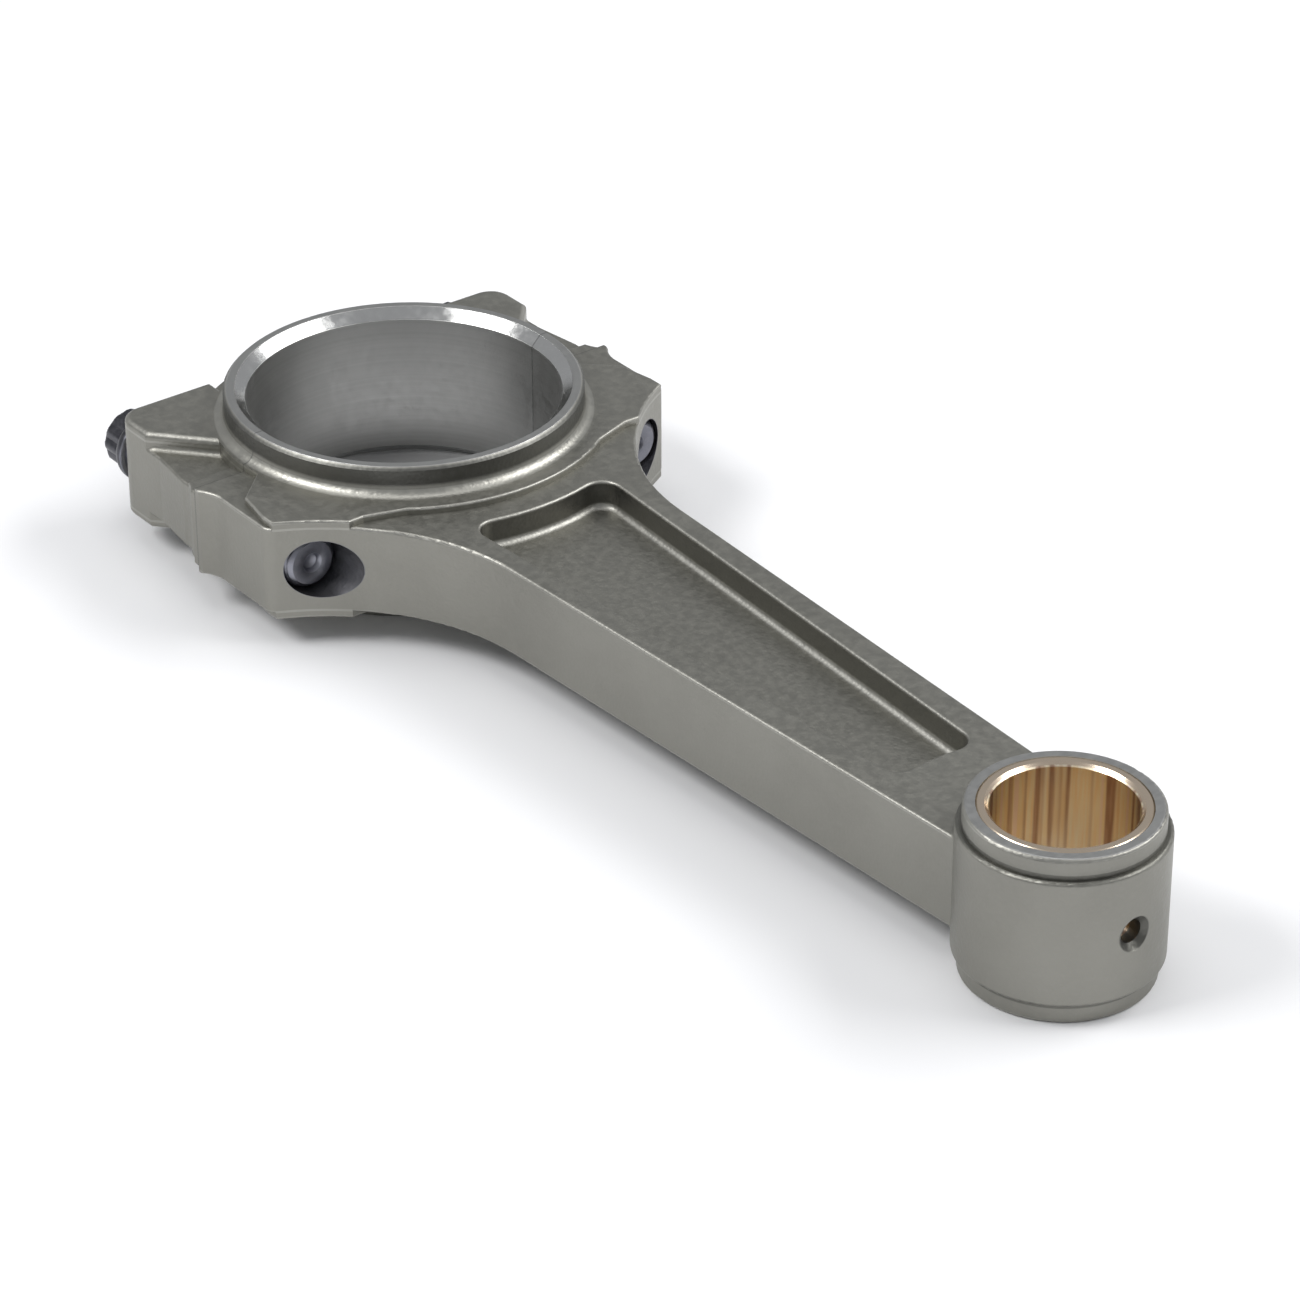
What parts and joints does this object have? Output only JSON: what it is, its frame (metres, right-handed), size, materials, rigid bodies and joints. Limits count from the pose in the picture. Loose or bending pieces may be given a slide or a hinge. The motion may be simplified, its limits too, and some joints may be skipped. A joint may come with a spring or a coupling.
{
  "type": "connecting rod",
  "caption": "Bolted-cap connecting rod with a plain tapered beam, a split big end located by hollow sleeves and a bronze-bushed small end.",
  "frame": {"origin": "centre of the big-end bore, halfway through its width", "axes": "+X from the big end to the small end, +Z along the crankpin axis, +Y to the right-hand cap bolt"},
  "size_m": [0.2163, 0.0836, 0.028],
  "materials": {
    "forged_steel": "satin, shot peened, machined edges",
    "bush_bronze": "honed bronze",
    "bolt_steel": "black oxide",
    "sleeve_steel": "ground"
  },
  "bodies": {
    "rod": {"rod_body": "forged_steel", "small_end_bush": "bush_bronze", "dowel_sleeve_left": "sleeve_steel", "dowel_sleeve_right": "sleeve_steel"},
    "cap": {"bearing_cap": "forged_steel"},
    "left_bolt": {"cap_bolt_left": "bolt_steel"},
    "right_bolt": {"cap_bolt_right": "bolt_steel"}
  },
  "joints": [
    {"name": "cap_lift", "type": "slide", "parent": "rod", "child": "cap", "axis": [-1, 0, 0], "range_m": [0, 0.06]},
    {"name": "left_bolt_draw", "type": "slide", "parent": "cap", "child": "left_bolt", "axis": [-1, 0, 0], "range_m": [0, 0.052]},
    {"name": "right_bolt_draw", "type": "slide", "parent": "cap", "child": "right_bolt", "axis": [-1, 0, 0], "range_m": [0, 0.052]}
  ]
}
